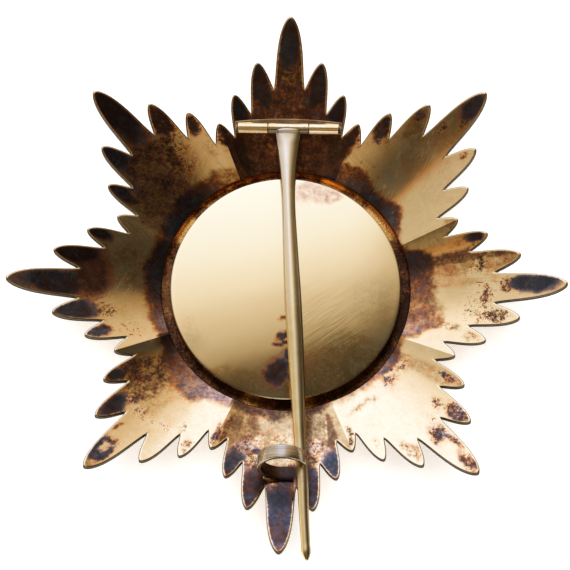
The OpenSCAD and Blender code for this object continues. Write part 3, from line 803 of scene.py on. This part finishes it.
def metal(name, base, other, rough_low, rough_high, stained=0.3, painted_shading=False):
    """A worn gilt metal with a second tone, spots of stain and fine grain. It can also take painted shade and
    a painted highlight from the mesh's attribute named dull: above 0 the colour is painted darker as shade,
    below 0 paler as a highlight."""
    tree = Surface(name)
    coarse = tree.noise(3.0)
    fine = tree.noise(0.4)
    color = tree.mix(tree.step(coarse, 0.35, 0.65), base, other)
    color = tree.mix(tree.step(coarse + fine * 0.6, 0.9, 1.05) * stained, color, STAIN)
    if painted_shading:
        dull = tree.attribute("dull")
        for sign, tone in ((-1.0, PAINTED_HIGHLIGHT_TONE), (1.0, PAINTED_SHADE_TONE)):
            color = tree.mix(tree.math("MULTIPLY", dull, sign, clamp=True), color, tone)
    return tree.finish(color, tree.blend(coarse, rough_low, rough_high), tree.bump(fine, 0.25, 0.012))


CAP_GOLD = (0.93, 0.78, 0.47)
OLIVE = (0.33, 0.265, 0.11)
# Olive veil on the cap. Columns: X, Y, reach, strength.
VEILS = [
    (15.0, -3.0, 8.0, 0.42), (10.5, -12.0, 9.0, 0.85), (4.0, -17.0, 6.0, 0.75), (-8.0, -16.5, 5.5, 0.6),
    (-15.0, -9.0, 3.5, 0.3),
]
# Smeared place on the cap. X, Y, reach, strength, reach of its core.
SMEAR = (6.8, -5.3, 9.0, 1.0, 2.0)


def cap_material():
    """Polished gilding with stains at its lower edge and soft smears beside the needle."""
    tree = Surface("polished_cap")
    color, level, waves = tarnish_color(tree, *map(tree.attribute, ("depth", "hue", "grain")))
    x, y = tree.axes(tree.at)[:2]
    smears = tree.scratches(-0.62, 1.0, 9.0, 0.14, 0.34) * tree.spot(x, y, *SMEAR)
    marks = tree.math("MAXIMUM", smears, tree.scratches(0.5, 0.25, 14.0, 0.01, 0.06) * 0.3)
    color = tree.mix(tree.step(level, 0.1, 0.0), color, CAP_GOLD)
    color = tree.mix(marks * 0.1, color, (0.5, 0.34, 0.14))
    veil = 0.0
    for place in VEILS:
        veil = tree.math("MAXIMUM", veil, tree.spot(x, y, *place))
    cloud = tree.noise(3.4, 4.0, 0.6) * 0.6 + waves["fine"] * 0.4
    color = tree.mix(veil * tree.step(cloud, 0.4, 0.6, 0.3, 1.0), color, OLIVE)
    normal = tree.bump(tree.noise(9.0, 2.0), 0.3, 0.04)
    normal = tree.bump(marks * -1.0, 0.12, 0.008, normal)
    return tree.finish(color, tree.blend(tree.step(level, 0.1, 0.5), 0.07, 0.28), normal)


def catch_material():
    """Silvery gilding on the outside of the catch. Inside, it is painted black as shade, and outside it is
    darker towards its foot.
    """
    tree = Surface("catch_metal")
    # The depth attribute paints shade here: near black inside the band, and darker towards the foot
    tarnish, level, waves = tarnish_color(tree, tree.attribute("depth"), 0.15, 0.0)
    clean = tree.mix(tree.step(waves["coarse"], 0.35, 0.65), (0.5, 0.4, 0.27), (0.64, 0.51, 0.33))
    clean = tree.mix(tree.scratches(0.0, 0.16, 9.0, 0.1, 0.4) * 0.5, clean, (0.26, 0.19, 0.12))
    color = tree.mix(tree.step(level, 0.05, 0.3), clean, tarnish)
    roughness = tree.blend(tree.step(level, 0.1, 0.6), 0.24, 0.34)
    return tree.finish(color, roughness, tree.bump(waves["fine"], 0.25, 0.012))


# Pieces

def make_plate():
    """The dished plate with its rays: a back and a front of crowded rings, joined by cut edges."""
    bundle = bundle_columns()
    middle = np.repeat(np.arange(8) * BUNDLE_STEP, len(bundle))
    off, reach, ray, valley = np.tile(bundle, (8, 1)).T
    cut = bundle_cut(middle + off)
    angle = np.radians(middle + off + cut[:, 0])
    outer = reach * cut[:, 1] * STAR_R
    ridge_root = np.array([root_r(int(i)) for i in ray]) * cut[:, 1]
    count = len(off)
    rings = len(OPENING_RINGS) + RING_COUNT
    share = 1 - (1 - np.arange(RING_COUNT) / (RING_COUNT - 1)) ** RING_CROWDING
    start = HOLE_R + BACK_EDGE_ROUND
    r = np.vstack([
        HOLE_R + OPENING_RINGS[:, None] + np.zeros(count),
        start + share[:, None] * (outer - start),
    ])
    x = r * np.sin(angle)
    y = r * np.cos(angle)
    back = back_z(r, off)
    on_ridge = valley < 1e-6
    in_valley = valley > 0.999
    # A ridge sinks to nothing from the ray's root to the outline, and a valley has none
    fade = np.minimum(1.0, (outer - r) / np.maximum(outer - ridge_root, 1e-6))
    fade = np.where(in_valley, 0.0, fade)
    ridges = np.stack([ridge_height(int(k), r[:, i]) for i, k in enumerate(ray)], axis=1)
    front = back - PLATE_T - (1 - valley) * fade * ridges

    outline = np.column_stack([x[-1], y[-1]])
    flat = np.column_stack([x.ravel(), y.ravel()])
    edge = distance_to_outline(flat, np.tile(np.arange(count), rings), outline)
    rim = np.minimum(edge, (r - HOLE_R).ravel() + OPENING_BLUNT)
    back_points = np.column_stack([flat, back.ravel() - rounding(rim, BACK_EDGE_ROUND)])
    front_points = np.column_stack([flat, front.ravel() + rounding(edge, FRONT_EDGE_ROUND)])

    total = rings * count
    back_faces = grid_faces(rings, count, close_columns=True)
    front_faces = grid_faces(rings, count, first=total, close_columns=True, flip=True)
    last = (rings - 1) * count
    walls = []
    for k in range(count):
        after = (k + 1) % count
        walls.append((last + k, last + after, total + last + after, total + last + k))
        walls.append((after, k, total + k, total + after))
    mesh = mesh_from("ray_plate", np.vstack([back_points, front_points]), back_faces + front_faces + walls)
    mesh.polygons.foreach_set("material_index",
                              [0] * len(back_faces) + [1] * len(front_faces) + [2, 3] * count)

    # Creases: between bundles on the back, and on every ridge and valley of the front
    back_crease = np.abs(np.abs(off) - HALF_STEP) < 1e-6
    front_crease = on_ridge | in_valley
    pairs = np.zeros(len(mesh.edges) * 2, np.int32)
    mesh.edges.foreach_get("vertices", pairs)
    pairs = pairs.reshape(-1, 2)
    column, other_column = (pairs % total % count).T
    on_back = (pairs.max(1) < total) & back_crease[column]
    on_front = (pairs.min(1) >= total) & front_crease[column]
    attribute = mesh.attributes.new("sharp_edge", "BOOLEAN", "EDGE")
    attribute.data.foreach_set("value", (column == other_column) & (on_back | on_front))

    bundle_of = np.tile(np.repeat(np.arange(8), len(bundle)), rings)
    depth, hue, grain = plate_tarnish(flat[:, 0], flat[:, 1], bundle_of)
    add_attributes(mesh, depth=depth, hue=hue, grain=grain, edge=edge)
    obj = new_object(mesh, plate_back_material(), plate_front_material(), cut_edge_material(),
                     opening_edge_material(), slot="gilt_plate")
    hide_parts("star")


SADDLE_W = 1.4 * KNUCKLE_R
STRIP_NEAR = SADDLE_W / 2 + STRIP_LIP
STRIP_Z = back_z_at(STRIP_L / 2, HINGE_Y) - SOLDER_SINK
BARREL_UP = STRIP_T + KNUCKLE_GAP + KNUCKLE_R
SOLDER_INSET = 0.08
# Seam along a knuckle: width in degrees, and depth
SEAM_W = 6
SEAM_DEPTH = 0.09
# Right of the catch's middle, where the solder at its foot ends and its band runs on flat
FOOT_END = 0.2
FOOT_INSET = 0.05


def strip_outline(steps=24):
    """The strip's outline in its own plane: a straight near edge and a bowed far edge."""
    swell_r = (STRIP_L ** 2 / 4 + STRIP_SWELL ** 2) / (2 * STRIP_SWELL)
    half = math.asin(STRIP_L / 2 / swell_r)
    far = STRIP_W - STRIP_NEAR + STRIP_SWELL - swell_r
    points = [(-STRIP_L / 2, -STRIP_NEAR), (STRIP_L / 2, -STRIP_NEAR)]
    for k in range(steps + 1):
        turn = half - 2 * half * k / steps
        points.append((swell_r * math.sin(turn), far + swell_r * math.cos(turn)))
    return points


def tube(length, place, seam_angle=None, steps=64, chamfer=0.07):
    """Points and faces of a knuckle along X. A seam runs along it at seam_angle, in degrees from -Y."""
    turns = np.arange(steps) * 360 / steps
    turn = np.radians(turns)
    depth = np.zeros(steps)
    if seam_angle is not None:
        away = np.abs((turns - seam_angle + 180) % 360 - 180)
        depth = np.where(away < SEAM_W / 2, SEAM_DEPTH, 0.0)
    end = length / 2
    corners = [(-end, BORE_R), (-end, KNUCKLE_R - chamfer), (-end + chamfer, KNUCKLE_R)]
    rows = []
    for along, radius in corners + [(-along, radius) for along, radius in corners[::-1]]:
        here = radius - (depth if radius > BORE_R else 0)
        rows.append(np.column_stack([np.full(steps, along), -here * np.cos(turn), here * np.sin(turn)]))
    points = np.vstack(rows) + np.array(place)
    return points, grid_faces(len(rows), steps, close_rows=True, close_columns=True)


def make_hinge(material, strip_material):
    """The bowed strip and the two knuckles soldered on it."""
    place = (0, HINGE_Y, STRIP_Z)
    points, faces = prism(strip_outline(), 0, STRIP_T)
    new_object(bevelled("hinge_strip", moved(points, place, DISH), faces, width=0.14), strip_material)
    outer_l = (BARREL_L - NEEDLE_KNUCKLE_L) / 2 - KNUCKLE_GAP
    # Section of the solder between strip and knuckle, as Y and Z in the strip's frame
    fillet = [(-SADDLE_W / 2, STRIP_T - 0.02), (-SADDLE_W / 2, BARREL_UP - 0.6),
              (SADDLE_W / 2, BARREL_UP - 0.6), (0.72, STRIP_T + 0.12), (0.95, STRIP_T - 0.02)]
    for side, name, seam in ((-1, "hinge_knuckle_left", 62), (1, "hinge_knuckle_right", None)):
        middle = side * (BARREL_L - outer_l) / 2
        points, faces = tube(outer_l, (middle, 0, BARREL_UP), seam)
        mesh = mesh_from(name, moved(points, place, DISH), faces, 30)
        new_object(mesh, material)
        ends = (middle - outer_l / 2 + SOLDER_INSET, middle + outer_l / 2 - SOLDER_INSET)
        points = moved([(x, y, z) for x in ends for y, z in fillet], place, DISH)
        solder = bevelled(name + "_solder", points, loft_faces(2, len(fillet)), width=0.08, steps=2)
        new_object(solder, strip_material)


def make_catch(material, corner=0.13):
    """The round band of the catch, which runs into its flat foot."""
    place = (0, -CATCH_Y, back_z_at(CATCH_FOOT_L / 2, CATCH_Y) - SOLDER_SINK)
    middle_r = CATCH_R - CATCH_T / 2
    # Path of the band, from its free end round to its lowest place and on along the plate.
    # Columns: X, Z, X and Z of the outward direction.
    path = []
    for turn in np.radians(np.linspace(CATCH_END, 270, 97)):
        path.append((middle_r * math.cos(turn), CATCH_R + middle_r * math.sin(turn),
                     math.cos(turn), math.sin(turn)))
    for along in np.linspace(FOOT_END, CATCH_FOOT_L - CATCH_FOOT_SIDE, 4):
        path.append((along, CATCH_T / 2, 0.0, -1.0))
    section = []
    for side, face, start in ((1, 1, 0), (-1, 1, 90), (-1, -1, 180), (1, -1, 270)):
        for turn in np.radians(start + 30 * np.arange(4)):
            section.append((side * (CATCH_W / 2 - corner) + corner * math.cos(turn),
                            face * (CATCH_T / 2 - corner) + corner * math.sin(turn)))
    points = [(x + out * out_x, -across, z + out * out_z)
              for x, z, out_x, out_z in path for across, out in section]
    mesh = mesh_from("catch_band", moved(points, place, -DISH), loft_faces(len(path), len(section)), 50)
    # Painted shade: black on the inside. On the outside, darker only near the foot
    inner = np.tile([out < 0 for across, out in section], len(path))
    height = np.array(points)[:, 2] / (2 * CATCH_R)
    add_attributes(mesh, depth=np.where(inner, 0.92, np.interp(height, (0.05, 0.45), (0.65, 0.0))))
    new_object(mesh, material)
    side = CATCH_W / 2 - FOOT_INSET
    outline = [(-CATCH_FOOT_SIDE, -side), (FOOT_END, -side), (FOOT_END, side), (-CATCH_FOOT_SIDE, side)]
    points, faces = prism(outline, 0.02, CATCH_T - 0.1)
    new_object(bevelled("catch_foot", moved(points, place, -DISH), faces, width=0.12), material)


def smooth_rows(table, steps):
    """Rows of a table followed by a smooth curve, steps between each two, as a function of column 0."""
    place = table[:, 0]
    slopes = np.gradient(table[:, 1:], place, axis=0)
    rows = []
    for i in range(len(table) - 1):
        width = place[i + 1] - place[i]
        for k in range(steps):
            t = k / steps
            a = (2 * t ** 3 - 3 * t ** 2 + 1) * table[i, 1:] + (t ** 3 - 2 * t ** 2 + t) * width * slopes[i]
            b = (-2 * t ** 3 + 3 * t ** 2) * table[i + 1, 1:] + (t ** 3 - t ** 2) * width * slopes[i + 1]
            rows.append([place[i] + t * width, *(a + b)])
    rows.append(table[-1])
    return rows


# Head of the needle, from the lip that laps its knuckle to the first row of the table NEEDLE.
# Columns: distance from the hinge's axis, width, thickness, height of the middle above the axis.
HEAD = [
    (0.18, 3.30, 0.385, 0.740), (0.28, 3.76, 0.445, 0.724), (0.54, 3.98, 0.645, 0.624),
    (0.60, 4.00, 0.670, 0.605), (0.68, 4.02, 0.670, 0.530), (0.76, 4.02, 0.710, 0.450),
    (0.90, 4.02, 0.840, 0.368), (1.10, 3.98, 1.065, 0.253), (1.80, 3.80, 1.280, 0.160),
    (2.60, 3.58, 1.370, 0.155),
]
# How square the head's sections are, where 1 is round and 0 a rectangle, and the distance where that ends
HEAD_POWER = 0.72
HEAD_SQUARE_TO = 2
# Painted shade and highlight: between these distances from the hinge, the painted shade on the needle's right
# flank grows and the painted highlight on its left flank fades
PAINTED_SHADING_FROM = (18, 36)


def make_needle(material, sides=48):
    """The needle: a flat head lapped over its knuckle, and a round shaft that tapers to a point."""
    length = AXIS_Y + STAR_R + NEEDLE_PAST
    sections = [(s, width, thick, 0.0, up, HEAD_POWER if s < HEAD_SQUARE_TO else 1.0)
                for s, width, thick, up in HEAD]
    for share, width, thick, side in smooth_rows(NEEDLE, 7):
        s = share * length
        sections.append((s, width * NEEDLE_W, thick * NEEDLE_T, side * NEEDLE_SIDE,
                         s * math.tan(NEEDLE_RISE), 1.0))
    points = []
    dull = []
    for s, width, thick, side, up, power in sections:
        for turn in 2 * math.pi * np.arange(sides) / sides:
            right, top = math.cos(turn), math.sin(turn)
            points.append((side + width / 2 * math.copysign(abs(right) ** power, right), AXIS_Y - s,
                           AXIS_Z + up + thick / 2 * math.copysign(abs(top) ** power, top)))
            # Painted shade on the right flank, and a painted highlight on the left flank near the head
            darker = np.interp(s, PAINTED_SHADING_FROM, (0.25, 1.0)) * np.interp(right, (-0.35, 0.7), (0.0, 0.75))
            paler = np.interp(s, PAINTED_SHADING_FROM, (1.0, 0.0)) * np.interp(right, (-0.9, 0.8), (1.0, 0.0))
            dull.append(darker - paler)
    mesh = mesh_from("needle_shaft", points, loft_faces(len(sections), sides))
    add_attributes(mesh, dull=dull)
    obj = new_object(mesh, material, body="needle_body", slot="needle_metal")
    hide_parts("needle")


def make_needle_knuckle(material):
    """The needle's own knuckle, between the two soldered ones."""
    points, faces = tube(NEEDLE_KNUCKLE_L, (0, AXIS_Y, AXIS_Z))
    mesh = mesh_from("needle_knuckle", points, faces, 30)
    # Painted shade: the side of the knuckle towards the needle's head is painted darker
    add_attributes(mesh, dull=np.interp(AXIS_Y - points[:, 1], (0.15, 0.45), (0.0, 1.0)))
    new_object(mesh, material, body="needle_body")


def make_cap(material, corner=0.24, rings=40):
    """The cap: a domed face, a rounded edge and a straight wall."""
    base = MEDALLION_T + SEAM_GAP
    top = base + CAP_H
    face_r = CAP_R - corner
    profile = [(face_r * k / rings, top + CAP_DOME * (1 - (k / rings) ** 2)) for k in range(rings + 1)]
    for turn in np.radians(np.arange(80, -1, -10)):
        profile.append((face_r + corner * math.cos(turn), top - corner + corner * math.sin(turn)))
    profile += [(CAP_R, top - 2 * corner), (CAP_R, base), (CAP_R - CAP_T, base),
                (CAP_R - CAP_T, top - CAP_T), (0, top - CAP_T + CAP_DOME)]
    mesh = revolved("cap", profile[::-1], 45)
    places = np.zeros(len(mesh.vertices) * 3, np.float32)
    mesh.vertices.foreach_get("co", places)
    x, y, z = places.reshape(-1, 3).T / MM
    depth, hue, grain = cap_tarnish(x, y)
    add_attributes(mesh, depth=np.where(z < top - corner - 0.01, CAP_WALL_DEPTH, depth), hue=hue, grain=grain)
    obj = new_object(mesh, material, slot="polished_cap")
    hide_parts("back_cap")


# Studio

def make_floor():
    bpy.ops.mesh.primitive_plane_add(size=6.0, location=(0, 0, -0.05 * MM))
    floor = bpy.context.object
    floor.name = "floor"
    floor.data.materials.append(Surface("pale_floor", {
        "Base Color": (0.62, 0.62, 0.62), "Roughness": 0.9, "Specular IOR Level": 0.1,
        "Emission Color": (1.0, 1.0, 1.0), "Emission Strength": 0.55,
    }).material)


# The studio that the metal mirrors, by the X and Y of a direction on the upper half of the sky.
# Lower border of the soft box overhead. Columns: X, Y of the border, softness.
BORDER = [
    (-0.6, -0.14, 0.1), (-0.43, -0.12, 0.07), (-0.39, -0.08, 0.06), (-0.365, 0.005, 0.045),
    (-0.28, 0.09, 0.075), (-0.14, 0.18, 0.1), (-0.05, 0.205, 0.09), (0.03, 0.23, 0.09),
    (0.08, 0.245, 0.09), (0.2, 0.32, 0.15), (0.41, 0.35, 0.19), (0.6, 0.5, 0.22),
]
# Brightness across that border. Columns: distance past it in units of the softness, brightness.
ACROSS = [
    (-1.0, 0.09), (-0.35, 0.12), (-0.12, 0.27), (0.0, 0.48), (0.2, 0.62), (0.6, 0.78), (1.0, 0.95),
    (1.5, 1.05), (2.4, 1.12), (3.2, 1.18),
]
# Brightness from left to right, for all of the soft box. Columns: X, share.
DIM = [
    (-0.6, 0.8), (-0.42, 0.85), (-0.33, 0.93), (-0.25, 1.0), (0.1, 1.0), (0.2, 0.88), (0.28, 0.74),
    (0.36, 0.72), (0.45, 0.68), (0.6, 0.6),
]
# The low left part of the soft box is dimmer, by this share, and less warm
LOW_LEFT_DIM = 0.34
LOW_LEFT_TINT = (1.0, 1.12, 1.3)
# Small soft lights. Columns: X, Y, reach, brightness.
GLOWS = [
    (0.04, -0.25, 0.34, 0.5), (0.0, -0.97, 0.42, 1.25), (-0.4, -0.05, 0.12, 0.34),
    (-0.31, -0.06, 0.16, 0.05),
]
# Colour of the studio at each brightness: warm where it is dim and cool where it is bright
TONES = [
    (0.00, (0.0, 0.0, 0.0)), (0.05, (0.05, 0.043, 0.037)), (0.1, (0.1, 0.087, 0.069)),
    (0.2, (0.2, 0.14, 0.085)), (0.35, (0.35, 0.26, 0.15)), (0.5, (0.5, 0.38, 0.24)),
    (0.64, (0.64, 0.54, 0.43)), (0.75, (0.76, 0.66, 0.57)), (0.88, (0.89, 0.84, 0.86)),
    (0.97, (0.98, 0.98, 1.1)), (1.06, (1.05, 1.14, 1.5)), (1.2, (1.15, 1.42, 2.3)),
]
# Tint of the orange rim of the soft box's left part
RIM_TINT = (1.15, 0.72, 0.4)
# Colour of the wall around, to the left and to the right
WALLS = ((0.78, 0.75, 0.7), (0.17, 0.13, 0.09))


def make_world():
    """A dim warm studio with a soft box overhead, and a wall around that is darker on the right."""
    world = bpy.data.worlds.new("studio")
    bpy.context.scene.world = world
    tree = Tree(world)
    background = tree.node("ShaderNodeBackground")
    tree.node("ShaderNodeOutputWorld", {"Surface": Wire(tree, background.outputs["Background"])})
    x, y, z = tree.axes(tree.add("ShaderNodeTexCoord", "Generated"))

    border = tree.curve(x, [(place, height) for place, height, softness in BORDER])
    softness = tree.curve(x, [(place, softness) for place, height, softness in BORDER])
    past = tree.math("DIVIDE", y - border, softness)
    low_left = tree.step(x, -0.18, -0.38) * tree.step(y, 0.55, 0.2)
    bright = tree.curve(past, ACROSS) * tree.curve(x, DIM)
    bright = bright * tree.step(low_left, 0.0, 1.0, 1.0, 1 - LOW_LEFT_DIM)
    for glow in GLOWS:
        bright = bright + tree.spot(x, y, *glow)
    brightest = TONES[-1][0]
    share = tree.math("DIVIDE", bright, brightest)
    color = tree.ramp(share, [(place / brightest, tone) for place, tone in TONES])

    rim = tree.step(past, -0.5, -0.1) * tree.step(past, 1.1, 0.6) * tree.step(x, -0.2, -0.3)
    for share, tint in ((low_left, LOW_LEFT_TINT), (rim, RIM_TINT)):
        tinted = tree.add("ShaderNodeVectorMath", "Vector", {0: color, 1: tint}, operation="MULTIPLY")
        color = tree.mix(share, color, tinted)
    wall = tree.mix(tree.step(x, -0.2, 0.6), *WALLS)
    tree.put(background, "Color", tree.mix(tree.step(z, 0.3, 0.12), color, wall))


def make_lights(ahead=0.25, height=1.3):
    """A wide soft light that brightens the floor. The metal mirrors the sky alone."""
    data = bpy.data.lights.new("overhead", "AREA")
    data.shape = "SQUARE"
    data.size = 1.6
    data.energy = 26
    light = bpy.data.objects.new("overhead", data)
    light.location = (0.0, ahead, height)
    light.rotation_euler = (math.atan2(-ahead, height), 0, 0)
    light.visible_glossy = False
    bpy.context.scene.collection.objects.link(light)


# Camera: the photograph's view, which looks down at the back from the side of the catch
VIEW_TILT = math.radians(16.9)
VIEW_TURN = math.radians(-0.94)
VIEW_DISTANCE = 1.4286
TIP_PLANE_Z = 9.817
PIXELS_PER_MM = 6.223
AIM_PX = (0.67, 5.15)
PHOTO_PX = 570
SENSOR = 36.0


def make_camera():
    data = bpy.data.cameras.new("camera")
    camera = bpy.data.objects.new("camera", data)
    bpy.context.scene.collection.objects.link(camera)
    right = Vector((math.cos(VIEW_TURN), -math.sin(VIEW_TURN), 0))
    ahead = Vector((math.sin(VIEW_TURN), math.cos(VIEW_TURN), 0))
    up = ahead * math.cos(VIEW_TILT) + Vector((0, 0, math.sin(VIEW_TILT)))
    back = Vector((0, 0, math.cos(VIEW_TILT))) - ahead * math.sin(VIEW_TILT)
    aim = Vector((0, 0, TIP_PLANE_Z)) - (right * AIM_PX[0] + up * AIM_PX[1]) / PIXELS_PER_MM
    rotation = Matrix((right, up, back)).transposed().to_4x4()
    camera.matrix_world = Matrix.Translation(aim * MM + back * VIEW_DISTANCE) @ rotation
    data.sensor_width = SENSOR
    data.lens = PIXELS_PER_MM / MM * VIEW_DISTANCE * SENSOR / PHOTO_PX
    data.clip_start = 0.05
    data.clip_end = 20
    bpy.context.scene.camera = camera


make_camera()
make_world()
make_lights()
make_floor()

POLISHED = ((0.9, 0.64, 0.3), (0.96, 0.75, 0.42), 0.17, 0.24)
strip_metal = metal("hinge_strip", (0.36, 0.19, 0.08), (0.6, 0.36, 0.16), 0.26, 0.36)
make_plate()
make_hinge(metal("bright_hinge", *POLISHED), strip_metal)
make_catch(catch_material())
make_needle(metal("needle_metal", (0.86, 0.64, 0.28), (0.94, 0.74, 0.37), 0.27, 0.35,
                  stained=0.15, painted_shading=True))
make_needle_knuckle(metal("needle_knuckle", *POLISHED, painted_shading=True))
make_cap(cap_material())

rivet_metal = metal("dark_rivet", (0.16, 0.09, 0.04), (0.3, 0.18, 0.08), 0.3, 0.4)
for name, material in (("medallion", medallion_material()), ("hinge_rivet", rivet_metal)):
    node = frame["nodes"][name]
    node.data.materials.clear()
    node.data.materials.append(material)

view = bpy.context.scene.view_settings
view.view_transform = "Standard"
view.look = "None"
view.exposure = 0.0
view.gamma = 1.0
